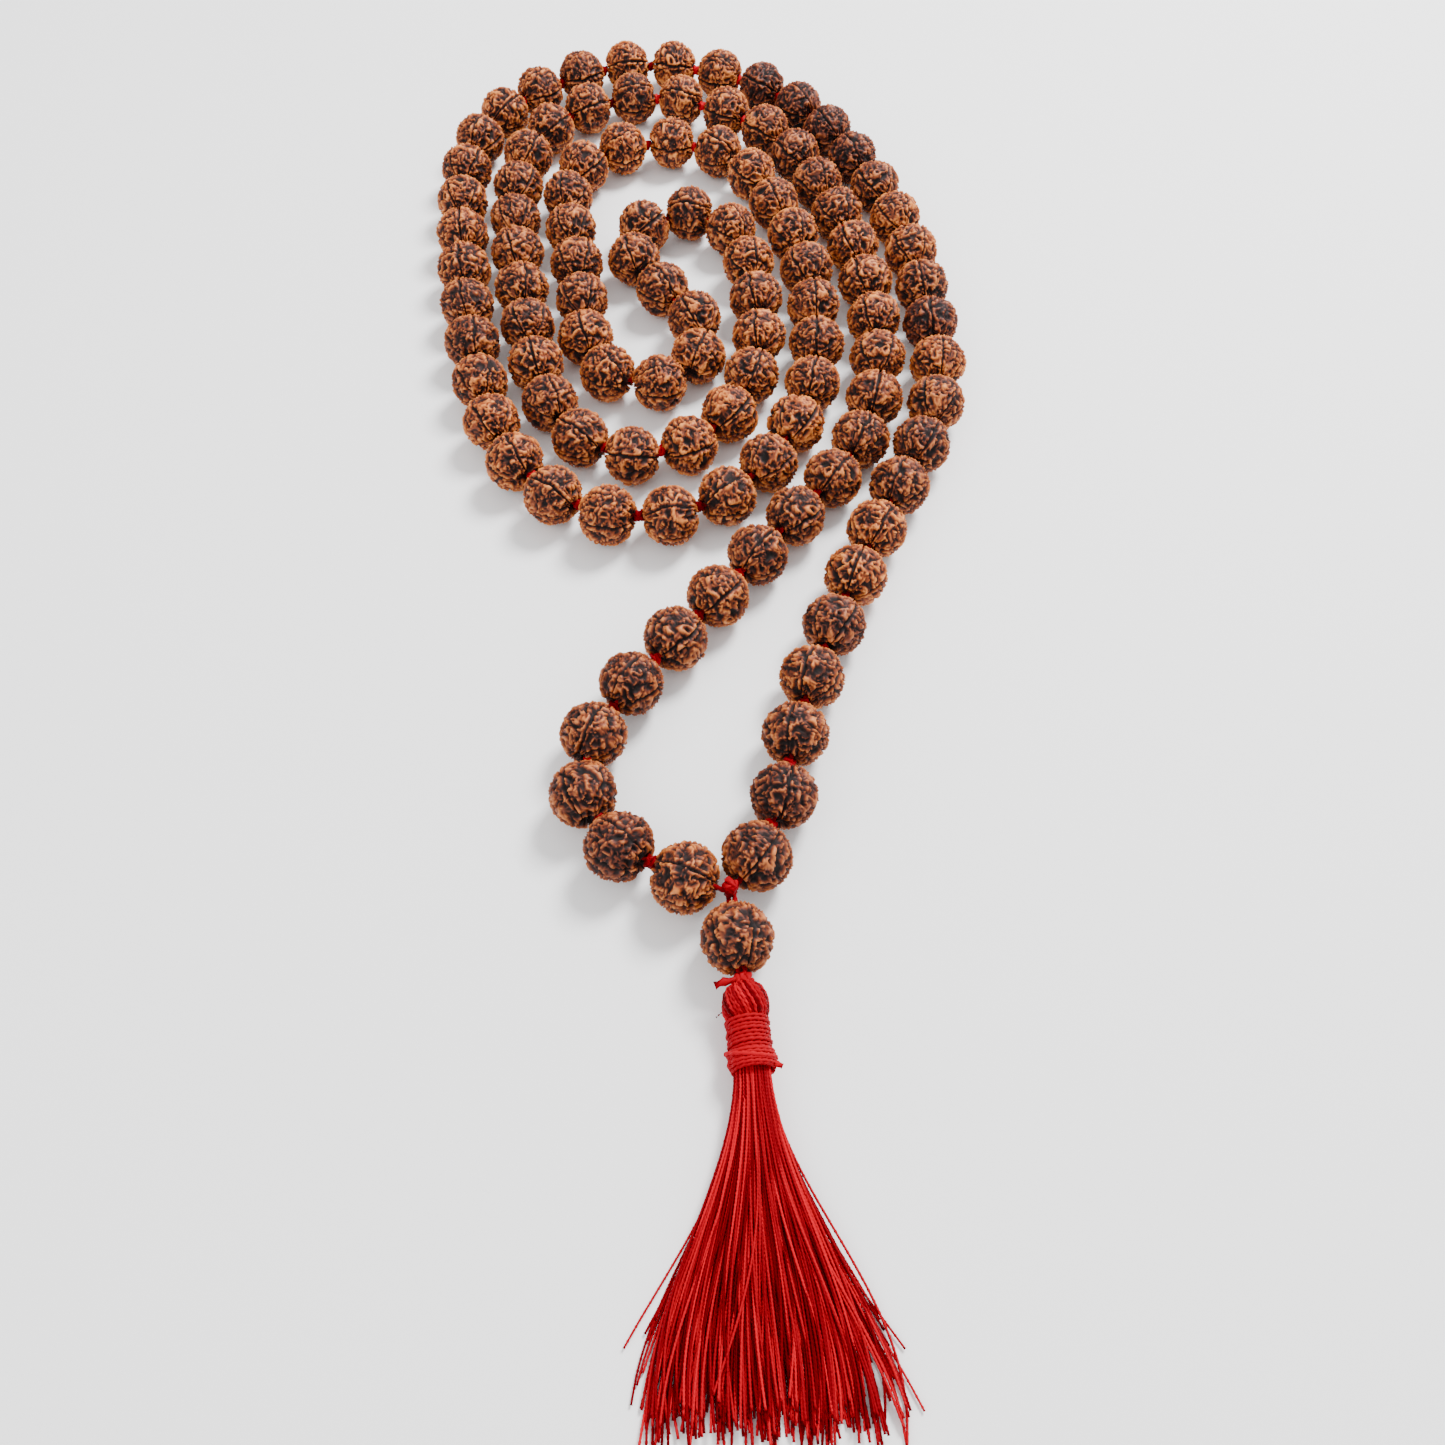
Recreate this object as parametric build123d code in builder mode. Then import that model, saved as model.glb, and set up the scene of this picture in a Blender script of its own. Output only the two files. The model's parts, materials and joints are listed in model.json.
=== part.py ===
from build123d import *
from math import cos, pi, radians, sin, sqrt
import os

# Mala: 108 five-furrowed seed beads and a guru bead on one knotted thread, with a bound tassel.
# It lies flat in a double spiral. Millimetres, +Z up, the table is Z = 0, the tassel points to -Y.

# Beads
bead_count = 108
bead_diameter = 12.0
bead_flattening = 0.8         # how much shorter a bead is along its bore
bore_diameter = 2.2
furrow_count = 5
furrow_width = 0.7
furrow_depth = 0.45
guru_extra_length = 0.4       # how much longer the guru bead is along its bore

# Thread and knots
thread_diameter = 1.1
guru_thread_diameter = 1.6    # both ends of the thread, side by side
knot_diameter = 2.4
knot_clearance = 0.157        # between a knot's ball and the rims of the two bores beside it
soft_clearance = 0.3          # between soft pieces of different bodies
knot_bite = 0.5               # from a knot's centre to where its runs begin, inside the ball
touch_gap = 0.02              # where a run meets a ball that it isn't joined to
closing_gap = 1.5             # extra thread between the closing knot and its two beads
closing_lump_diameter = 2.0
closing_lump_rise = 2.9
tie_knot_diameter = 2.8
stub_diameter = 1.0
stub_length = 3.0
stub_aim = (-1, -0.35, -0.2)   # which way the tie knot's cut end points

# Tassel
head_diameter = 6.6
head_length = 3.6
head_tip_diameter = 3.2
head_gap = 1.8                # from the tie knot's centre to the head's tip
binding_diameter = 7.2
binding_turns = 9
binding_turn_width = 0.95
neck_diameter = 5.2
skirt_length = 43.5           # from its hinge line to its hem
skirt_top_width = 6.6
skirt_top_height = 5.4
skirt_hem_width = 31.0
skirt_hem_height = 3.4
skirt_drift = 1.4             # how far the hem lies to the right of the hinge
skirt_sections = 5
skirt_edge_rounding = 0.45    # share of the skirt's height
skirt_root_inset = 0.2        # how far the round root stays inside each side, as a share of its height
tassel_lean = 6.0             # degrees, the neck's turn to the right of straight down

# How the strand lies: points along its centre line, from the closing knot round both turns and back,
# seen from above, measured from the guru's centre at a pitch of 12.6 mm.
nominal_pitch = 12.6
# Longer steps at the sharpest turns, in pitches
turn_slack = {59: 0.08, 60: 0.09, 61: 0.05, 64: 0.04, 65: 0.08, 66: 0.06, 67: 0.02}
closing_point = (-1, 8)
strand_route = [
    closing_point, (7, 20), (10, 38), (18, 61), (27, 84), (37, 105), (43, 122), (43, 143),
    (41, 168), (34, 193), (23, 217), (9, 234), (-4, 241), (-17, 245), (-29, 244), (-40, 239),
    (-50, 232), (-58, 222), (-63, 210), (-64, 192), (-62, 173), (-59, 152), (-55, 133), (-50, 114),
    (-40, 97), (-29, 89), (-16, 87), (-5, 90), (5, 99), (12, 111), (17, 125), (18, 145),
    (17, 160), (15, 173), (10, 185), (4, 200), (-8, 210), (-19, 211), (-30, 207), (-38, 200),
    (-39, 188), (-36, 168), (-33, 151), (-32, 138), (-28, 127), (-18, 123), (-9, 127), (-6, 137), (-8, 148),
    (-18, 157), (-24, 167), (-22, 179), (-11, 184), (-1, 180), (3, 169), (5, 154), (6, 139), (4, 127),
    (-1, 115), (-9, 106), (-19, 103), (-30, 107), (-38, 118), (-42, 131), (-46, 150), (-50, 175),
    (-51, 197), (-46, 216), (-37, 225), (-26, 230), (-12, 229), (-1, 223), (9, 216), (18, 200),
    (25, 181), (29, 163), (31, 144), (30, 124), (25, 106), (14, 91), (-1, 71), (-16, 52),
    (-25, 38), (-27, 25), (-17, 14), closing_point,
]

# Hinge lines: the knots where the two front strands bend together, counted from each end
fold_knots = [2, 4, 6]
extra_left_beads = 1          # the left strand has one bead more in front of each hinge line
single_beads = 8              # beads at each end of the strand that stand in nodes of their own
row_beads = 10                # beads in each joined row of the rest
stretch_knots = 24            # steps in each stretch of the lying thread

bead_length = bead_diameter - bead_flattening
guru_length = bead_length + guru_extra_length
rim_dip = bead_length / 2 * (1 - sqrt(1 - (bore_diameter / bead_diameter) ** 2))
knot_seat = sqrt((knot_diameter / 2 + knot_clearance) ** 2 - (bore_diameter / 2) ** 2)
knot_length = 2 * (knot_seat - rim_dip)   # what a knot keeps open between two beads
pitch = bead_length + knot_length
bead_height = bead_diameter / 2
bead_turn = 137.5             # degrees from one bead to the next, so that no two furrows line up
os.makedirs("parts", exist_ok=True)


# ---------------------------------------------------------------- where the strand lies

with BuildLine() as strand_line:
    Spline(*strand_route)
strand_edge = strand_line.edges()[0]
route_samples = 3000
strand_places = [strand_edge.position_at(i / route_samples) for i in range(route_samples + 1)]


def knot_steps(step):
    """The straight steps from knot to knot; the closing knot stands off by its gap."""
    steps = [step * (1 + turn_slack.get(number, 0)) for number in range(1, bead_count + 1)]
    steps[0] = step * (pitch + closing_gap) / pitch
    steps[-1] = steps[0]
    return steps


def walk(steps):
    """Walk the strand in straight steps; returns the knots reached, fewer if it runs out."""
    knots = [strand_places[0]]
    sample = 0
    for step in steps:
        while sample <= route_samples and (strand_places[sample] - knots[-1]).length < step:
            sample += 1
        if sample > route_samples:
            break
        before = (strand_places[sample - 1] - knots[-1]).length
        after = (strand_places[sample] - knots[-1]).length
        share = (step - before) / (after - before)
        knots.append(strand_places[sample - 1] + (strand_places[sample] - strand_places[sample - 1]) * share)
    return knots


def fitted_step():
    """The longest step that still brings all the beads onto the strand."""
    low = nominal_pitch * 0.9
    high = nominal_pitch * 1.1
    for _ in range(24):
        middle = (low + high) / 2
        if len(walk(knot_steps(middle))) > bead_count:
            low = middle
        else:
            high = middle
    return low


route_step = fitted_step()
spread = pitch / route_step   # the route grows with its beads
knots = [place * spread for place in walk(knot_steps(route_step))]
closing_place = knots[0]

# The guru hangs from the closing knot on a line through its own centre, the route's origin.
guru_axis = closing_place.normalized()
guru_place = Vector(0, 0, 0)
tie_place = guru_axis * -(guru_length / 2 + tie_knot_diameter / 2)

# The tassel's neck leans a little to the right, and its skirt lies straight down.
tassel_axis = Vector(sin(radians(tassel_lean)), -cos(radians(tassel_lean)), 0)
binding_length = binding_turns * binding_turn_width
binding_end = tie_place + tassel_axis * (head_gap + head_length + binding_length)
skirt_hinge = binding_end + tassel_axis * (soft_clearance + skirt_top_height / 2)


def bead_place(number):
    """Centre of a bead, 1 to bead_count, and the direction of its bore."""
    start = knots[number - 1]
    end = knots[number]
    along = (end - start).normalized()
    if number == 1:
        return end - along * (pitch / 2), along
    if number == bead_count:
        return start + along * (pitch / 2), along
    return (start + end) / 2, along


# The origin is the middle of the whole outline, on the table.
bead_xs = [bead_place(n)[0].X for n in range(1, bead_count + 1)]
bead_ys = [bead_place(n)[0].Y for n in range(1, bead_count + 1)]
middle_x = (min(bead_xs) + max(bead_xs)) / 2
hem_y = skirt_hinge.Y - skirt_length
middle_y = (max(bead_ys) + bead_diameter / 2 + hem_y) / 2
origin_shift = Vector(-middle_x, -middle_y, bead_height)
knots = [knot + origin_shift for knot in knots]
closing_place = closing_place + origin_shift
guru_place = guru_place + origin_shift
tie_place = tie_place + origin_shift
skirt_hinge = skirt_hinge + origin_shift


def lying_plane(place, along):
    """A plane at a place whose normal lies along the bore and whose X axis is level."""
    return Plane(origin=place, x_dir=Vector(0, 0, 1).cross(along) * -1, z_dir=along)


def keep(piece, name):
    """Label a finished piece and write it."""
    piece.part.label = name
    export_step(piece.part, f"parts/{name}.step")


# ---------------------------------------------------------------- beads

def seed_bead(diameter, length):
    """A seed bead about its own bore along Z: a flattened ball, drilled, with furrows from hole to hole."""
    with BuildPart() as bead:
        with BuildSketch(Plane.XZ):
            Ellipse(diameter / 2, length / 2)
            Rectangle(bore_diameter / 2, length, align=(Align.MIN, Align.CENTER), mode=Mode.SUBTRACT)
            Rectangle(diameter, length * 2, align=(Align.MAX, Align.CENTER), mode=Mode.SUBTRACT)
        revolve(axis=Axis.Z)
        with BuildSketch(Plane.XZ) as furrow:
            Rectangle(diameter, length, align=(Align.MIN, Align.CENTER))
            Ellipse(diameter / 2 - furrow_depth, length / 2 - furrow_depth, mode=Mode.SUBTRACT)
        with PolarLocations(0, furrow_count):
            add(extrude(furrow.sketch, furrow_width / 2, both=True, mode=Mode.PRIVATE), mode=Mode.SUBTRACT)
    return bead.part


def bead_location(number):
    """Where a bead sits: its bore along the strand, each one turned on from the last."""
    place, along = bead_place(number)
    return lying_plane(place, along).location * Location((0, 0, 0), (0, 0, number * bead_turn))


counting_bead = seed_bead(bead_diameter, bead_length)

for number in list(range(1, single_beads + 1)) + list(range(bead_count - single_beads + 1, bead_count + 1)):
    with BuildPart() as single_bead:
        with Locations(bead_location(number)):
            add(counting_bead)
    keep(single_bead, f"bead_{number:03d}")

last_row_bead = bead_count - single_beads
for first in range(single_beads + 1, last_row_bead + 1, row_beads):
    last = min(first + row_beads - 1, last_row_bead)
    with BuildPart() as bead_row:
        with Locations(*[bead_location(number) for number in range(first, last + 1)]):
            add(counting_bead)
    keep(bead_row, f"beads_{first:03d}_to_{last:03d}")

with BuildPart() as guru_bead:
    with Locations(lying_plane(guru_place, guru_axis).location):
        add(seed_bead(bead_diameter, guru_length))
keep(guru_bead, "guru_bead")


# ---------------------------------------------------------------- thread and its knots

def straight_thread(start, end, diameter):
    """One straight run of thread between two places."""
    with BuildPart() as run:
        with Locations(Plane(origin=start, z_dir=end - start).location):
            Cylinder(diameter / 2, (end - start).length, align=(Align.CENTER, Align.CENTER, Align.MIN))
    return run.part


def thread_stretch(start, end, start_gap=None, end_gap=None):
    """Straight runs from knot to knot with a ball-shaped knot at each, which is where the thread bends.

    With a gap, the ball at that end belongs to the next piece, and the run stops that far short of it.
    """
    with BuildPart() as stretch:
        for number in range(start, end):
            along = (knots[number + 1] - knots[number]).normalized()
            begin = knots[number] + along * knot_bite
            finish = knots[number + 1] - along * knot_bite
            if number == start and start_gap is not None:
                begin = knots[number] + along * (knot_diameter / 2 + start_gap)
            if number + 1 == end and end_gap is not None:
                finish = knots[number + 1] - along * (knot_diameter / 2 + end_gap)
            add(straight_thread(begin, finish, thread_diameter))
        for number in range(start + (start_gap is not None), end + (end_gap is None)):
            before = knots[max(number - 1, 0)]
            after = knots[min(number + 1, bead_count)]
            across = (after - before).cross(Vector(0, 0, 1))
            with Locations(Plane(origin=knots[number], x_dir=across, z_dir=(0, 0, 1)).location):
                Sphere(knot_diameter / 2)
    return stretch.part


def left_knot(right_knot):
    """The knot of the left strand that shares a hinge line with one of the right strand."""
    return bead_count - extra_left_beads - right_knot


# The lying part of the thread is drawn as stretches that meet at the face of a knot.
rear_fold = fold_knots[-1]
lying_end = left_knot(rear_fold)
for start in range(rear_fold, lying_end, stretch_knots):
    end = min(start + stretch_knots, lying_end)
    with BuildPart() as lying_thread:
        add(thread_stretch(start, end, start_gap=touch_gap if start > rear_fold else None))
    keep(lying_thread, f"thread_{start}_{end}")

# Between two hinge lines each side has its own piece, which owns the knot at its front end.
for front, rear in zip(fold_knots, fold_knots[1:]):
    with BuildPart() as right_thread:
        add(thread_stretch(front, rear, end_gap=soft_clearance))
    keep(right_thread, f"thread_right_{front}_{rear}")
    with BuildPart() as left_thread:
        add(thread_stretch(left_knot(rear), left_knot(front), start_gap=soft_clearance))
    keep(left_thread, f"thread_left_{front}_{rear}")

# In front of the last hinge line both ends meet in the closing knot, a stack of three lumps.
front_fold = fold_knots[0]
with BuildPart() as front_right_thread:
    add(thread_stretch(0, front_fold, end_gap=soft_clearance))
    for lump in (1, 2):
        with Locations(closing_place + Vector(0, 0, closing_lump_rise * lump / 2)):
            Sphere(closing_lump_diameter / 2)
keep(front_right_thread, "front_thread_and_closing_knot")
with BuildPart() as front_left_thread:
    add(thread_stretch(left_knot(front_fold), bead_count - 1, start_gap=soft_clearance))
    run_end = closing_place + (knots[-2] - closing_place).normalized() * (knot_diameter / 2 + touch_gap)
    along = (run_end - knots[-2]).normalized()
    add(straight_thread(knots[-2] + along * knot_bite, run_end, thread_diameter))
keep(front_left_thread, "front_left_thread")

guru_thread_start = closing_place - guru_axis * (knot_diameter / 2 + soft_clearance)
guru_thread_end = tie_place + guru_axis * (tie_knot_diameter / 2 + soft_clearance)
with BuildPart() as guru_thread:
    add(straight_thread(guru_thread_start, guru_thread_end, guru_thread_diameter))
keep(guru_thread, "guru_thread")

stub_end = tie_place + Vector(stub_aim).normalized() * (tie_knot_diameter / 2 + stub_length)
with BuildPart() as tie_knot:
    with Locations(tie_place):
        Sphere(tie_knot_diameter / 2)
    add(straight_thread(tie_place, stub_end, stub_diameter))
keep(tie_knot, "tie_knot")


# ---------------------------------------------------------------- tassel

# The neck lies on the table, so its axis is half the binding's diameter above it.
neck_origin = tie_place + tassel_axis * head_gap
neck_height = binding_diameter / 2
neck_plane = Plane(origin=(neck_origin.X, neck_origin.Y, neck_height), x_dir=tassel_axis, z_dir=(0, 0, 1))
neck_axis = Axis(neck_plane.origin, tassel_axis)
neck_end = head_length + binding_length

head_tip = (0, head_tip_diameter / 2)
head_shoulder = (head_length, head_diameter / 2)
neck_start = (head_length, neck_diameter / 2)
neck_foot = (neck_end, neck_diameter / 2)
with BuildPart() as tassel_head:
    with BuildSketch(neck_plane):
        with BuildLine():
            Polyline(head_tip, (0, 0), (neck_end, 0), neck_foot, neck_start, head_shoulder)
            TangentArc(head_shoulder, head_tip, tangent=(-1, 0))
        make_face()
    revolve(axis=neck_axis)
keep(tassel_head, "tassel_head")

turn_radius = binding_turn_width / 2
turn_centre = binding_diameter / 2 - turn_radius
turn_starts = [head_length + binding_turn_width * turn for turn in range(binding_turns)]
with BuildPart() as tassel_binding:
    with BuildSketch(neck_plane):
        with Locations(neck_start):
            Rectangle(binding_length, turn_centre - neck_diameter / 2, align=(Align.MIN, Align.MIN))
        with Locations(*[(turn_start + turn_radius, turn_centre) for turn_start in turn_starts]):
            Circle(turn_radius)
    revolve(axis=neck_axis)
keep(tassel_binding, "tassel_binding")


def skirt_plane(share):
    """The skirt's section plane, a share of the way from its hinge line to its hem."""
    height = skirt_top_height + (skirt_hem_height - skirt_top_height) * share
    lift = (binding_diameter - skirt_top_height) / 2 * (1 - share)
    place = skirt_hinge + Vector(skirt_drift * share, -skirt_length * share, 0)
    return Plane(origin=(place.X, place.Y, lift + height / 2), x_dir=(1, 0, 0), z_dir=(0, -1, 0))


with BuildPart() as tassel_skirt:
    for section in range(skirt_sections):
        share = section / (skirt_sections - 1)
        section_width = skirt_top_width + (skirt_hem_width - skirt_top_width) * (1 - cos(pi * share)) / 2
        section_height = skirt_top_height + (skirt_hem_height - skirt_top_height) * share
        with BuildSketch(skirt_plane(share)):
            RectangleRounded(section_width, section_height, section_height * skirt_edge_rounding)
    loft()
    with Locations(Plane(origin=skirt_plane(0).origin, x_dir=(0, 1, 0), z_dir=(1, 0, 0)).location):
        Cylinder(skirt_top_height / 2, skirt_top_width - skirt_top_height * skirt_root_inset)
keep(tassel_skirt, "tassel_skirt")
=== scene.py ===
# %% [markdown]
# # Mala: frame, camera and light
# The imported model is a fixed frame. Each seed, knot and strand is made here at the place where the frame
# holds it, so nothing has to be fitted afterwards.

# %% Load the frame
import bpy
import json
import math
import random
import numpy as np
from mathutils import Matrix, Vector, noise


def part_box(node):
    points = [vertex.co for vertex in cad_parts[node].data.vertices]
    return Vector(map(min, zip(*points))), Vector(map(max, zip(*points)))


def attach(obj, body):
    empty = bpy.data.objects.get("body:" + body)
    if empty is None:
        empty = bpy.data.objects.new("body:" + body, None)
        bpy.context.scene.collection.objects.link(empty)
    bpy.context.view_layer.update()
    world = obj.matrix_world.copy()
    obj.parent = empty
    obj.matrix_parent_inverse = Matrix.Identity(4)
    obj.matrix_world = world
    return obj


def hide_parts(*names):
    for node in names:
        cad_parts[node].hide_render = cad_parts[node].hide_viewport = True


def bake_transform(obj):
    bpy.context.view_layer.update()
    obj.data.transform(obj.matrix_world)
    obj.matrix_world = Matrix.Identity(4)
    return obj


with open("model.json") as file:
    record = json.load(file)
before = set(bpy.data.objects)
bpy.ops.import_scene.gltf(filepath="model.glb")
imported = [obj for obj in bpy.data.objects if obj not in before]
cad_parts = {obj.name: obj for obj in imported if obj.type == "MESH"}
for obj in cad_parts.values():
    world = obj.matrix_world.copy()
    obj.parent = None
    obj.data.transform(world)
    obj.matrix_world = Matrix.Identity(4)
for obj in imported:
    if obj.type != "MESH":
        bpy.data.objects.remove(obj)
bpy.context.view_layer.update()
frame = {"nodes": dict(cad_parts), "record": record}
random.seed(108)
rng = np.random.default_rng(108)


def middle(node):
    """Middle of a node's box at rest."""
    low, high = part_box(node)
    return (Vector(low) + Vector(high)) / 2


# %% [markdown]
# The camera stands low in front of the tassel and looks down along the strand. A wide lens close by gives
# the strong taper of the near tassel against the far beads. Its place is stated from the guru bead.

# %% Camera
guru_middle = middle("guru_bead")
camera_data = bpy.data.cameras.new("camera")
camera_data.lens = 32.0
camera = bpy.data.objects.new("camera", camera_data)
bpy.context.scene.collection.objects.link(camera)
camera.location = guru_middle + Vector((-0.0023, -0.0821, 0.1891))
camera.rotation_euler = (math.radians(90 - 57), 0, 0)
bpy.context.scene.camera = camera
print("camera", tuple(round(value, 3) for value in camera.location))

# %% [markdown]
# A bright studio table: a pale floor, a white world and two broad lamps. The key stands at the back right, so
# that each seed throws a soft shadow towards the front left; the fill keeps the pits readable.

# %% Floor and light
bpy.ops.mesh.primitive_plane_add(size=6, location=(0, 0, -0.0002))
floor = bpy.context.object
floor.name = "floor"
floor_material = bpy.data.materials.new("floor")
floor_material.use_nodes = True
floor_material.node_tree.nodes["Principled BSDF"].inputs["Base Color"].default_value = (0.97, 0.97, 0.975, 1)
floor_material.node_tree.nodes["Principled BSDF"].inputs["Roughness"].default_value = 0.7
floor.data.materials.append(floor_material)

world = bpy.data.worlds.new("studio")
bpy.context.scene.world = world
world.use_nodes = True
world.node_tree.nodes["Background"].inputs["Color"].default_value = (1, 1, 1, 1)
world.node_tree.nodes["Background"].inputs["Strength"].default_value = 1.12


def softbox(name, place, size, watts):
    """A square lamp that faces the middle of the strand."""
    data = bpy.data.lights.new(name, "AREA")
    data.shape = "SQUARE"
    data.size = size
    data.energy = watts
    lamp = bpy.data.objects.new(name, data)
    bpy.context.scene.collection.objects.link(lamp)
    lamp.location = place
    lamp.rotation_euler = Vector(place).to_track_quat("Z", "Y").to_euler()


softbox("key", (0.38, 0.42, 0.75), 0.3, 17)
softbox("fill", (-0.5, -0.5, 0.7), 0.8, 4.0)
print("lamps", [light.name for light in bpy.data.lights])

# %% [markdown]
# # Materials
# The seed's skin is driven by two values stored on the mesh: "relief", how far a point stands out of the
# pits, and "tone", one value for each seed. The silk takes "tone" from each strand.

# %% Material helpers
def new_material(name):
    """An empty node material and its shader."""
    material = bpy.data.materials.new(name)
    material.use_nodes = True
    return material, material.node_tree.nodes, material.node_tree.links, material.node_tree.nodes["Principled BSDF"]


def value_from(nodes, name):
    """A value stored on the mesh."""
    attribute = nodes.new("ShaderNodeAttribute")
    attribute.attribute_name = name
    return attribute.outputs["Fac"]


def ramp(nodes, stops):
    """A colour ramp with the given stops."""
    node = nodes.new("ShaderNodeValToRGB")
    elements = node.color_ramp.elements
    while len(elements) < len(stops):
        elements.new(0.5)
    for element, (place, colour) in zip(elements, stops):
        element.position = place
        element.color = (*colour, 1)
    return node


def grain_group():
    """Fine grain shared by skin and silk: noise of a given scale, and the bumped normal it gives."""
    group = bpy.data.node_groups.new("fine_grain", "ShaderNodeTree")
    for socket in ("Scale", "Detail", "Strength", "Distance"):
        group.interface.new_socket(socket, in_out="INPUT", socket_type="NodeSocketFloat")
    group.interface.new_socket("Grain", in_out="OUTPUT", socket_type="NodeSocketFloat")
    group.interface.new_socket("Normal", in_out="OUTPUT", socket_type="NodeSocketVector")
    nodes, links = group.nodes, group.links
    given, result = nodes.new("NodeGroupInput"), nodes.new("NodeGroupOutput")
    coordinates, grain, bump = (nodes.new(kind) for kind in ("ShaderNodeTexCoord", "ShaderNodeTexNoise", "ShaderNodeBump"))
    links.new(coordinates.outputs["Object"], grain.inputs["Vector"])
    links.new(given.outputs["Scale"], grain.inputs["Scale"])
    links.new(given.outputs["Detail"], grain.inputs["Detail"])
    links.new(given.outputs["Strength"], bump.inputs["Strength"])
    links.new(given.outputs["Distance"], bump.inputs["Distance"])
    links.new(grain.outputs["Fac"], bump.inputs["Height"])
    links.new(grain.outputs["Fac"], result.inputs["Grain"])
    links.new(bump.outputs["Normal"], result.inputs["Normal"])
    return group


fine_grain = grain_group()


def add_grain(nodes, links, shader, scale, detail, strength, distance):
    """Put the shared grain on a shader's normal; returns its node."""
    grain = nodes.new("ShaderNodeGroup")
    grain.node_tree = fine_grain
    for socket, value in zip(("Scale", "Detail", "Strength", "Distance"), (scale, detail, strength, distance)):
        grain.inputs[socket].default_value = value
    links.new(grain.outputs["Normal"], shader.inputs["Normal"])
    return grain


print("shared groups", fine_grain.name)

# %% [markdown]
# The skin could be painted by hand, but the relief that shaped the mesh already says where pits and ridges
# are, so the colour follows it: painted shade, nearly black, in the pits and painted highlight, light orange
# brown, on the ridges, with the seed's own brown between. A coarse mottle breaks the edges of the colours,
# and two ramps, a dark and a light one, are mixed by each seed's tone.

# %% Seed skin
seed_skin, nodes, links, shader = new_material("seed_skin")
relief = value_from(nodes, "relief")
tone = value_from(nodes, "tone")
# Both ramps paint shade, near black, at their low stops for the pits and paint highlight at their top stop for the
# ridge tops; the stops between are the seed's own brown.
dark_seed_shade_highlight_ramp = ramp(nodes, [(0.0, (0.002, 0.001, 0.001)), (0.38, (0.010, 0.001, 0.001)), (0.66, (0.10, 0.014, 0.004)),
                         (1.0, (0.42, 0.11, 0.03))])
light_seed_shade_highlight_ramp = ramp(nodes, [(0.0, (0.003, 0.001, 0.001)), (0.34, (0.03, 0.004, 0.001)), (0.62, (0.29, 0.052, 0.007)),
                          (1.0, (0.85, 0.29, 0.055))])
coordinates = nodes.new("ShaderNodeTexCoord")
mottle = nodes.new("ShaderNodeTexNoise")
mottle.inputs["Scale"].default_value = 420
mottle.inputs["Detail"].default_value = 5
links.new(coordinates.outputs["Object"], mottle.inputs["Vector"])
shifted = nodes.new("ShaderNodeMath")
shifted.operation = "MULTIPLY_ADD"
shifted.inputs[1].default_value = 0.34
links.new(mottle.outputs["Fac"], shifted.inputs[0])
lowered = nodes.new("ShaderNodeMath")
lowered.operation = "SUBTRACT"
lowered.inputs[1].default_value = 0.17
links.new(relief, lowered.inputs[0])
links.new(lowered.outputs[0], shifted.inputs[2])
links.new(shifted.outputs[0], dark_seed_shade_highlight_ramp.inputs["Fac"])
links.new(shifted.outputs[0], light_seed_shade_highlight_ramp.inputs["Fac"])
blend_tones = nodes.new("ShaderNodeMix")
blend_tones.data_type = "RGBA"
links.new(tone, blend_tones.inputs["Factor"])
links.new(dark_seed_shade_highlight_ramp.outputs["Color"], blend_tones.inputs["A"])
links.new(light_seed_shade_highlight_ramp.outputs["Color"], blend_tones.inputs["B"])
links.new(blend_tones.outputs["Result"], shader.inputs["Base Color"])
polish = nodes.new("ShaderNodeMapRange")
polish.inputs["To Min"].default_value = 0.8
polish.inputs["To Max"].default_value = 0.42
links.new(relief, polish.inputs["Value"])
links.new(polish.outputs["Result"], shader.inputs["Roughness"])
shader.inputs["Specular IOR Level"].default_value = 0.28
add_grain(nodes, links, shader, 2600, 4, 0.35, 0.00012)
print("seed skin nodes", len(nodes))

# %% [markdown]
# The silk is a deep crimson with little shine. Each strand has its own tone, so that a bundle reads as many
# strands, and a very fine grain stands for the fibres that are too thin to model.

# %% Silk
silk, nodes, links, shader = new_material("silk")
silk_tone = ramp(nodes, [(0.0, (0.05, 0.0, 0.001)), (0.5, (0.24, 0.0, 0.005)), (1.0, (0.55, 0.0, 0.012))])
links.new(value_from(nodes, "tone"), silk_tone.inputs["Fac"])
links.new(silk_tone.outputs["Color"], shader.inputs["Base Color"])
fibre = add_grain(nodes, links, shader, 5200, 2, 0.25, 0.00006)
gloss = nodes.new("ShaderNodeMapRange")
gloss.inputs["To Min"].default_value = 0.3
gloss.inputs["To Max"].default_value = 0.55
links.new(fibre.outputs["Grain"], gloss.inputs["Value"])
links.new(gloss.outputs["Result"], shader.inputs["Roughness"])
shader.inputs["Specular IOR Level"].default_value = 0.06
shader.inputs["Specular Tint"].default_value = (1, 0.25, 0.35, 1)
print("silk nodes", len(nodes))

# %% [markdown]
# # Seeds
# A rudraksha seed has five furrows from hole to hole, and between them a skin of crooked ridges and deep
# pits. Ten masters are made from a UV sphere whose points are moved out and in by warped ridge noise, and
# each bead of the strand is a copy with its own turn.

# %% Seed masters
seed_radius = 0.006
seed_half_length = 0.0056
seed_segments = 96
seed_rings = 60
furrows = 5


def ridge(point, scale, offset):
    """Ridged noise from 0 to 1: crests where the noise crosses zero."""
    return 1 - min(1, abs(noise.noise(point * scale + offset)) * 2.2)


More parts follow.
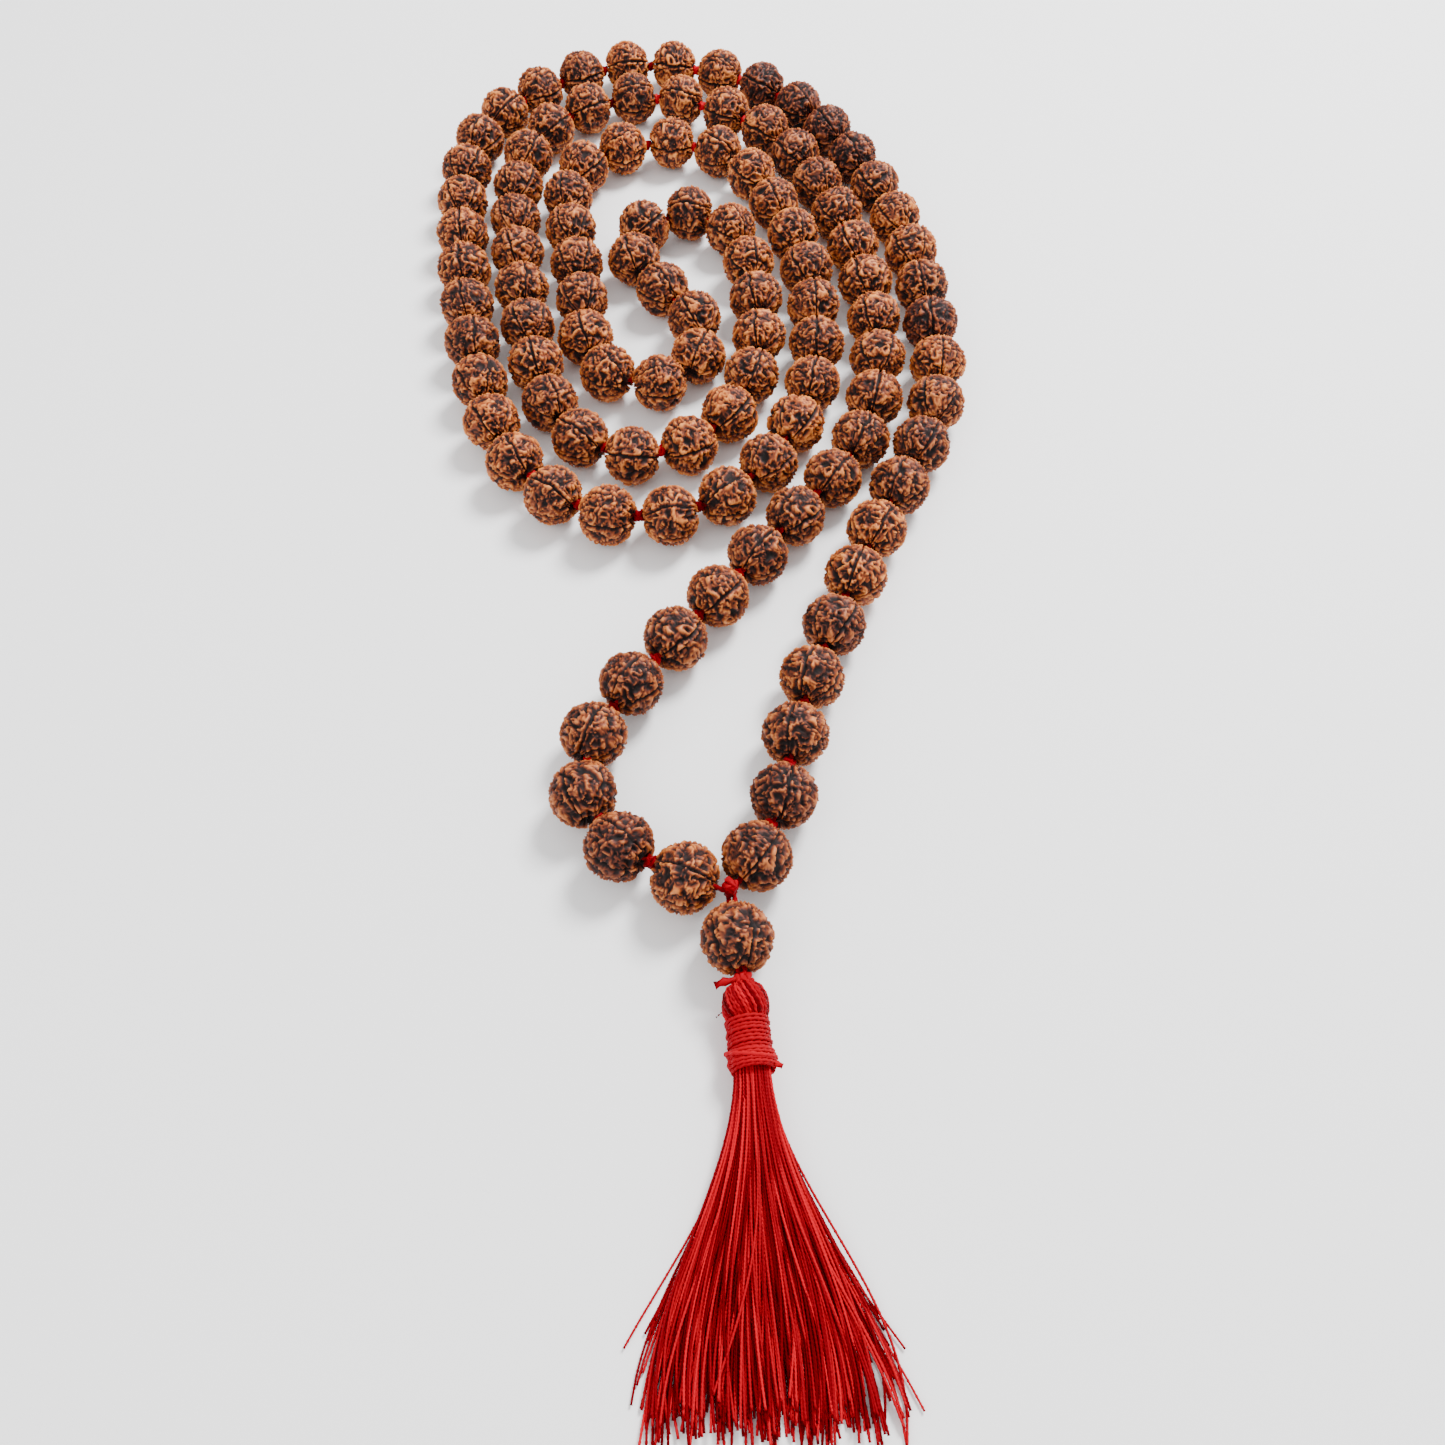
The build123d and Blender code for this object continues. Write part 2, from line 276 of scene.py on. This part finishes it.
def seed_master(index):
    """Points, faces and relief of one seed about a bore along Z, with a radius near 1."""
    bpy.ops.mesh.primitive_uv_sphere_add(segments=seed_segments, ring_count=seed_rings, radius=1)
    ball = bpy.context.object
    faces = [tuple(polygon.vertices) for polygon in ball.data.polygons]
    offset = Vector((index * 7.3, index * 3.1, index * 5.7))
    points = []
    reliefs = []
    for vertex in ball.data.vertices:
        direction = vertex.co.normalized()
        warp = noise.noise_vector(direction * 2.6 + offset) * 0.34
        warped = direction + warp
        angle = math.atan2(direction.y, direction.x) + 0.1 * noise.noise(Vector((0, 0, direction.z * 2.5)) + offset)
        furrow_share = angle * furrows / (2 * math.pi)
        furrow_distance = abs(furrow_share - round(furrow_share)) * 2
        furrow = math.exp(-(furrow_distance / 0.06) ** 2)
        worms = ridge(warped, 4.6, offset) ** 1.7
        knobs = ridge(warped, 8.2, offset * 2) ** 1.4
        pit = max(0, noise.noise(warped * 5.2 + offset * 3) + 0.05) ** 0.7
        lip = math.exp(-((furrow_distance - 0.16) / 0.07) ** 2)
        relief = 0.16 + 0.74 * worms + 0.36 * knobs - 0.8 * pit + 0.3 * lip - 1.3 * furrow
        relief = max(0, min(1, relief))
        mouth = math.exp(-((1 - abs(direction.z)) / 0.03) ** 2)
        radius = 0.845 + 0.15 * relief - 0.04 * furrow + 0.025 * noise.noise(direction * 1.4 + offset)
        radius -= 0.2 * mouth
        points.append((direction.x * radius, direction.y * radius, direction.z * radius))
        # The stored relief also drops at the bore's mouth, so the colour there is painted shade in the hole.
        reliefs.append(relief * (1 - 0.7 * mouth))
    mesh = ball.data
    bpy.data.objects.remove(ball)
    bpy.data.meshes.remove(mesh)
    return np.array(points), faces, np.array(reliefs)


masters = [seed_master(index) for index in range(10)]
print("seed masters", len(masters), "faces each", len(masters[0][1]))

# %% [markdown]
# The centre of each bead comes from its own closed shell in the frame, and its bore points along the strand,
# from the bead before to the bead after.

# %% Bead places
def shell_boxes(node):
    """Boxes of the separate faces in a node's mesh, in the order of their points."""
    mesh = bpy.data.objects[node].data
    parent = list(range(len(mesh.vertices)))

    def root(index):
        while parent[index] != index:
            parent[index] = parent[parent[index]]
            index = parent[index]
        return index

    for edge in mesh.edges:
        first, second = sorted((root(edge.vertices[0]), root(edge.vertices[1])))
        parent[second] = first
    groups = {}
    for index in range(len(parent)):
        groups.setdefault(root(index), []).append(mesh.vertices[index].co)
    places = [np.array(points) for points in groups.values()]
    return [(points.min(axis=0), points.max(axis=0)) for points in places]


def row_centres(node, count):
    """Centres of a row's beads, which all have as many faces; the row's last bead is stored first."""
    boxes = shell_boxes(node)
    each = len(boxes) // count
    centres = []
    for bead in range(count):
        own = boxes[bead * each:(bead + 1) * each]
        low = np.min([box[0] for box in own], axis=0)
        high = np.max([box[1] for box in own], axis=0)
        centres.append(Vector((low + high) / 2))
    return centres[1:] + centres[:1]


bead_nodes = sorted(node for node in frame["nodes"] if node.startswith("bead"))
centres = {}
beads_in = {}
for node in bead_nodes:
    if node.startswith("beads_"):
        first, last = int(node[6:9]), int(node[13:16])
        beads_in[node] = list(range(first, last + 1))
        centres.update(zip(beads_in[node], row_centres(node, last - first + 1)))
    else:
        beads_in[node] = [int(node[5:8])]
        centres[int(node[5:8])] = middle(node)
bead_count = len(centres)
steps = [(centres[number + 1] - centres[number]).length * 1000 for number in range(1, bead_count)]
print("beads", bead_count, "steps from", round(min(steps), 2), "to", round(max(steps), 2), "mm")

joints = {joint["name"]: joint for joint in frame["record"]["behaviour"]["joints"]}
bores = {number: Vector(joints[f"spin_{number:03d}"]["axis"]) for number in centres if f"spin_{number:03d}" in joints}
closing = Vector(joints["guru_lift"]["pos_m"])
tie = Vector(joints["tassel_lift"]["pos_m"])
guru_bore = Vector(joints["guru_spin"]["axis"])
for number in range(1, bead_count + 1):
    if number not in bores:
        bores[number] = (centres[number + 1] - centres[number - 1]).normalized()

print("bores from joints", sum(f"spin_{number:03d}" in joints for number in bores))

# %% [markdown]
# A row's seeds could be separate objects, but the frame holds each row as one node on one body, so its seeds
# are joined the same way: each a copy of a master at its own place. Sizes and tones differ a little from
# seed to seed. A few seeds are notably orange and a few at the back are dark.

# %% Put a seed on each place
def turned(points, centre, bore, spin, radius, half_length):
    """A master's points at their place: scaled, spun about the bore and laid along it."""
    bore_turn = bore.to_track_quat("Z", "Y").to_matrix() @ Matrix.Rotation(spin, 3, "Z")
    scaled = points * np.array((radius, radius, half_length))
    return scaled @ np.array(bore_turn).T + np.array(centre)


def mesh_object(name, points, faces, values, material):
    """One object from joined pieces, smooth, with its stored values."""
    mesh = bpy.data.meshes.new(name)
    mesh.from_pydata([tuple(point) for point in points], [], faces)
    for value_name, numbers in values.items():
        mesh.attributes.new(value_name, "FLOAT", "POINT").data.foreach_set("value", np.asarray(numbers, dtype=np.float32))
    mesh.polygons.foreach_set("use_smooth", [True] * len(mesh.polygons))
    mesh.materials.append(material)
    mesh.update()
    piece = bpy.data.objects.new(name, mesh)
    bpy.context.scene.collection.objects.link(piece)
    return piece


orange_beads = {6: 0.85, 11: 0.8, 68: 0.9}
purple_beads = {12, 17, 18, 19, 20}


def bead_tone(number):
    """How light a seed is, from 0 to 1."""
    if number in purple_beads:
        return 0.05
    usual = 0.66 if 12 < number < 98 else 0.45
    return orange_beads.get(number, float(np.clip(rng.normal(usual, 0.16), 0.15, 0.95)))


def seeds(name, numbers, places, directions, radius, half_length):
    """The seeds of one node, joined in one piece."""
    points, faces, reliefs, tones = [], [], [], []
    start = 0
    for number, place, direction in zip(numbers, places, directions):
        master_points, master_faces, master_relief = masters[int(rng.integers(len(masters)))]
        size = radius * rng.uniform(0.985, 1.02)
        points.append(turned(master_points, place, direction, rng.uniform(0, 2 * math.pi), size / 0.975, half_length * 1.03 / 0.975))
        faces.extend(tuple(index + start for index in face) for face in master_faces)
        reliefs.append(master_relief)
        tones.append(np.full(len(master_points), bead_tone(number)))
        start += len(master_points)
    values = {"relief": np.concatenate(reliefs), "tone": np.concatenate(tones)}
    return mesh_object(name, np.concatenate(points), faces, values, seed_skin)


node_body = {node: body for body, names in frame["record"]["behaviour"]["bodies"].items() for node in names}
for node in bead_nodes:
    numbers = beads_in[node]
    piece = seeds(node.replace("bead", "seed"), numbers, [centres[n] for n in numbers], [bores[n] for n in numbers],
                  seed_radius, seed_half_length)
    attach(piece, node_body[node])
    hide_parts(node)
guru = seeds("guru_seed", [0], [guru_middle], [guru_bore], 0.006, 0.0058)
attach(guru, "guru")
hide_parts("guru_bead")
print("seed rows", len(bead_nodes))

# %% [markdown]
# # Thread
# All silk here is a two-ply twisted thread. One function sweeps its section, two round plies side by side,
# along any line of points and turns it as it goes, which gives the rope-like look at every size.

# %% Two-ply thread along a line


def smooth_line(points, spacing):
    """Points spread evenly along a smooth line through the given ones."""
    points = np.asarray(points, dtype=float)
    padded = np.vstack([2 * points[0] - points[1], points, 2 * points[-1] - points[-2]])
    fine = []
    for index in range(len(points) - 1):
        a, b, c, d = padded[index:index + 4]
        t = np.linspace(0, 1, 12, endpoint=False)[:, None]
        fine.append(0.5 * (2 * b + (c - a) * t + (2 * a - 5 * b + 4 * c - d) * t ** 2 + (3 * b - a - 3 * c + d) * t ** 3))
    fine = np.vstack(fine + [points[-1:]])
    lengths = np.concatenate([[0], np.cumsum(np.linalg.norm(np.diff(fine, axis=0), axis=1))])
    count = max(3, int(lengths[-1] / spacing) + 1)
    wanted = np.linspace(0, lengths[-1], count)
    return np.stack([np.interp(wanted, lengths, fine[:, axis]) for axis in range(3)], axis=1)


def twisted(points, diameter, around=8):
    """Points and faces of a two-ply thread along a line."""
    ply_angles = np.linspace(0, 2 * math.pi, around, endpoint=False)
    pitch = diameter * 3.2
    line = smooth_line(points, max(diameter * 0.8, 0.00052))
    tangents = np.gradient(line, axis=0)
    tangents /= np.linalg.norm(tangents, axis=1)[:, None] + 1e-12
    side = np.cross(tangents, (0.13, 0.21, 0.97))
    side /= np.linalg.norm(side, axis=1)[:, None] + 1e-12
    up = np.cross(side, tangents)
    lengths = np.concatenate([[0], np.cumsum(np.linalg.norm(np.diff(line, axis=0), axis=1))])
    turn = lengths / pitch * math.pi * 2 + rng.uniform(0, math.pi)
    # a section like a figure of eight: wide across both plies, narrow between them
    radius = diameter / 2 * (0.66 + 0.34 * np.abs(np.cos(ply_angles)))
    angles = ply_angles[None, :] + turn[:, None]
    rings = line[:, None, :] + radius[None, :, None] * (np.cos(angles)[..., None] * side[:, None, :]
                                                        + np.sin(angles)[..., None] * up[:, None, :])
    count = len(line)
    faces = []
    for ring in range(count - 1):
        for corner in range(around):
            following = (corner + 1) % around
            faces.append((ring * around + corner, ring * around + following,
                          (ring + 1) * around + following, (ring + 1) * around + corner))
    faces.append(tuple(reversed(range(around))))
    faces.append(tuple((count - 1) * around + corner for corner in range(around)))
    return rings.reshape(-1, 3), faces


def silk_piece(name, lines, body, nodes=(), tones=None, around=8):
    """Threads joined in one piece, attached to the body named, if any."""
    points, faces, values = [], [], []
    start = 0
    for index, (line, diameter) in enumerate(lines):
        own_points, own_faces = twisted(line, diameter, around)
        points.append(own_points)
        faces.extend(tuple(vertex + start for vertex in face) for face in own_faces)
        tone = tones[index] if tones is not None else rng.uniform(0.1, 1.0)
        values.append(np.full(len(own_points), tone))
        start += len(own_points)
    piece = mesh_object(name, np.concatenate(points), faces, {"tone": np.concatenate(values)}, silk)
    if body:
        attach(piece, body)
    if nodes:
        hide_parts(*nodes)
    return piece


# %% [markdown]
# Between two beads sits an overhand knot: the thread goes round itself twice and out along the strand. The
# knot is a short closed tangle of loops about the strand's line, with a straight tail into each bore.

# %% Knots between the beads
def knot_lines(place, along, size, diameter):
    """The loops of one knot and its two tails."""
    along = along.normalized()
    across = along.cross(Vector((0, 0, 1))).normalized()
    up = across.cross(along)
    tilt = rng.uniform(0, 2 * math.pi)
    loops = []
    for angle in np.linspace(0, 2 * math.pi * 2.6, 26):
        swing = size * (0.78 + 0.12 * math.sin(angle * 1.5))
        loops.append(place + across * math.cos(angle + tilt) * swing * 0.62 + up * math.sin(angle + tilt) * swing * 0.62
                     + along * size * 0.45 * math.sin(angle * 0.75 + tilt))
    tail = 0.0032
    return [(loops, diameter), ([place - along * tail, place - along * 0.001, place, place + along * 0.001,
                                 place + along * tail], diameter)]


thread_diameter = 0.0011
knot_size = 0.0016
knots = {number: (centres[number] + centres[number + 1]) / 2 for number in range(1, bead_count)}


def strand_knots(numbers):
    """Knot and thread lines for the knots with these numbers."""
    lines = []
    for number in numbers:
        lines.extend(knot_lines(knots[number], bores[number] + bores[number + 1], knot_size, thread_diameter))
    return lines


threads = [node for node in frame["nodes"] if node.startswith("thread_") and "left" not in node and "right" not in node]
silk_piece("lying_knots", strand_knots(range(6, 102)), "lying_strand", threads)
silk_piece("rear_link_knots", strand_knots([4, 5, 102, 103]), "rear_link", ["thread_right_4_6", "thread_left_4_6"])
silk_piece("middle_link_knots", strand_knots([2, 3, 104, 105]), "middle_link", ["thread_right_2_4", "thread_left_2_4"])

print("knots", len(knots))

# %% [markdown]
# The closing knot ties both ends of the strand above the guru. It stands up as a small stack, two tangles
# over the line of the thread, because the two seeds beside it leave no room at the sides.

# %% Closing knot above the guru
right_end = closing + (centres[1] - closing).normalized() * 0.004
left_end = closing + (centres[bead_count] - closing).normalized() * 0.004
lift = Vector((0, 0, 0.0014))
closing_lines = strand_knots([1, 106, 107])
closing_lines += [([right_end, closing + lift * 0.5, left_end], thread_diameter)]
closing_lines += knot_lines(closing + lift * 0.6, Vector((1, 0.4, 0)), 0.0018, 0.0012)[:1]
closing_lines += knot_lines(closing + lift * 1.7, Vector((0.3, 1, 0)), 0.0017, 0.0012)[:1]
silk_piece("closing_knot", closing_lines, "front_link", ["front_left_thread", "front_thread_and_closing_knot"])
print("closing knot lines", len(closing_lines))

# %% [markdown]
# Both thread ends pass through the guru side by side and are tied below it, in a knot that leaves one short
# fat cut end and a frayed fibre on the left.

# %% Thread through the guru, and the tie knot below it
beside = guru_bore.cross(Vector((0, 0, 1))).normalized() * 0.0005
guru_end = tie.lerp(guru_middle, 0.11)
guru_lines = [([closing + lift * 0.3 + beside, guru_middle + beside, guru_end + beside], 0.001),
              ([closing + lift * 0.3 - beside, guru_middle - beside, guru_end - beside], 0.001)]
silk_piece("guru_double_thread", guru_lines, "guru_link", ["guru_thread"])
tie_lines = knot_lines(tie, Vector((1, 0.1, 0)), 0.0022, 0.0012)[:1]
tie_lines += knot_lines(tie + Vector((0.0004, -0.0006, 0.0004)), Vector((0.2, 1, 0)), 0.0019, 0.0011)[:1]
stub_end = tie + Vector((-0.0044, -0.0010, 0.0006))
tie_lines += [([tie, tie + Vector((-0.0022, -0.0002, 0.0008)), stub_end], 0.0015)]
tie_lines += [([tie, tie + Vector((-0.002, -0.003, -0.002)), tie + Vector((-0.0042, -0.0046, -0.0035))], 0.0003)]
silk_piece("tie_knot_threads", tie_lines, "tie", ["tie_knot"])
print("tie knot lines", len(tie_lines))

# %% [markdown]
# # Tassel
# The tassel is one skein of thread, looped through the tie knot, bound below its head, and cut at the hem.
# The head's loops spread over a bulb, the binding is wound in nine turns, and the skirt's strands fan out
# flat on the table, with uneven ends and a few strays.

# %% Head
neck_low, neck_high = (Vector(corner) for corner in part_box("tassel_binding"))
neck = (neck_low + neck_high) / 2
lean = Vector(joints["tassel_lift"]["axis"]).cross(Vector((0, 0, 1))) * -1
if lean.y > 0:
    lean = -lean
sideways = Vector((0, 0, 1)).cross(lean).normalized()
binding_half = 0.0043
binding_top = neck - lean * binding_half
head_lines = []
head_shape = [(0.08, 0.001, 0.9), (0.22, 0.0026, 0.75), (0.5, 0.0033, 0.5), (0.8, 0.0034, 0.25), (1.0, 0.0029, 0.1),
              (1.35, 0.0025, 0.0)]
for index in range(44):
    around = 2 * math.pi * index / 44 + rng.uniform(-0.05, 0.05)
    line = []
    for share, reach, twist in head_shape:
        out = sideways * math.cos(around + twist) + Vector((0, 0, 1)) * math.sin(around + twist)
        line.append(tie.lerp(binding_top, share) + out * reach * rng.uniform(0.97, 1.03))
    head_lines.append((line, 0.00075))
silk_piece("head_skein", head_lines, "tassel", ["tassel_head"])
print("head strands", len(head_lines))

# %% [markdown]
# The binding is one thread wound round the neck, then back over its lower half, with a last slanting turn and
# a cut end on the right. Turns that would go under the table are
# flattened there.

# %% Binding
def winding(turns, start, end, reach, tilt=0.0):
    """A line wound round the neck from one share of the binding's length to another."""
    line = []
    for step in range(turns * 20 + 1):
        share = start + (end - start) * step / (turns * 20)
        angle = 2 * math.pi * step / 20
        swell = reach + 0.00012 * math.sin(angle * 0.37)
        along = lean * ((share * 2 - 1) * binding_half + tilt * math.sin(angle + 0.6))
        rise = max(math.sin(angle) * swell, -0.0031)
        line.append(neck + along + sideways * math.cos(angle) * swell + Vector((0, 0, rise)))
    return line


binding_lines = [(winding(13, 0.03, 0.97, 0.00315), 0.00078), (winding(5, 0.62, 0.9, 0.00345, 0.0002), 0.00072),
                 (winding(1, 0.66, 0.68, 0.0037, 0.0011), 0.0008)]
stub_line = [neck + lean * 0.003 + sideways * 0.003 + Vector((0, 0, 0.001)),
             neck + lean * 0.0038 + sideways * 0.0045 + Vector((0, 0, 0.0008))]
if stub_line[1].x < neck.x:
    stub_line = [point - sideways * (point - neck).dot(sideways) * 2 for point in stub_line]
silk_piece("binding_turns", binding_lines + [(stub_line, 0.0011)], "tassel", ["tassel_binding"],
           tones=[0.62, 0.7, 0.8, 0.75])

print("binding turns", len(binding_lines))

# %% [markdown]
# The skirt could be a hair system, but those don't keep a fixed mesh. Here each strand is a thread swept from
# inside the binding to the hem, spread across a flat fan, with its own length, drift and sway. The strays
# leave the fan at the sides. The strands are shared out over five pieces.

# %% Skirt
skirt_low, skirt_high = (Vector(corner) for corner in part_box("tassel_skirt"))
skirt_top = neck + lean * binding_half
hem = Vector(((skirt_low.x + skirt_high.x) / 2, skirt_low.y, 0))
strand_diameter = 0.0005


def skirt_strand(across, layer, stray=0.0):
    """One strand from the binding to the hem; across runs from -1 to 1 and layer from 0 to 1."""
    length_share = min(1.05, rng.normal(0.99, 0.04)) if not stray else rng.uniform(0.72, 0.98)
    drift = rng.normal(0, 0.15)
    sway = rng.normal(0, 0.0014, 2)
    phase = rng.uniform(0, 2 * math.pi)
    start = skirt_top - lean * 0.002
    line = []
    for share in np.linspace(0, length_share, 12):
        half = 0.0026 + (0.0148 - 0.0026) * (1 - math.cos(math.pi * min(share, 1))) / 2
        thick = 0.0052 * (1 - share) + 0.0022 * share
        dome = math.sqrt(max(0, 1 - 0.85 * across * across))
        base = start.z * (1 - share) ** 2 * 0.1
        x = start.x + (hem.x - start.x) * share + (across + drift * share ** 1.5) * half + sway[0] * share * math.sin(3 * share + phase)
        x += stray * max(0, share - 0.35) ** 1.5 * 0.019
        y = start.y + (hem.y - start.y) * share
        z = base + strand_diameter * 0.6 + thick * (0.5 + (layer - 0.5) * dome) * (1 - 0.35 * share)
        z += 0.0007 * math.sin(6 * share + phase) * share
        if stray:
            z = max(strand_diameter * 0.6, z * (1 - share))
        line.append((x, y, max(z, strand_diameter * 0.55)))
    return line


strand_lines = []
for column in range(52):
    for row in range(7):
        across = (column + rng.uniform(0.1, 0.9)) / 26 - 1
        strand_lines.append((skirt_strand(across, (row + rng.uniform(0, 1)) / 7), strand_diameter))
for side in (-1, 1):
    for _ in range(13):
        strand_lines.append((skirt_strand(side * rng.uniform(0.8, 0.95), 0.3, stray=side * rng.uniform(0.4, 1.0)),
                             strand_diameter * 0.9))
rng.shuffle(strand_lines)
groups = 5
for group in range(groups):
    piece = silk_piece(f"skirt_strands_{group + 1}", strand_lines[group::groups], None,
                       ["tassel_skirt"] if group == 0 else (), around=6)
    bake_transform(piece)
    print(piece.name, len(piece.data.polygons))
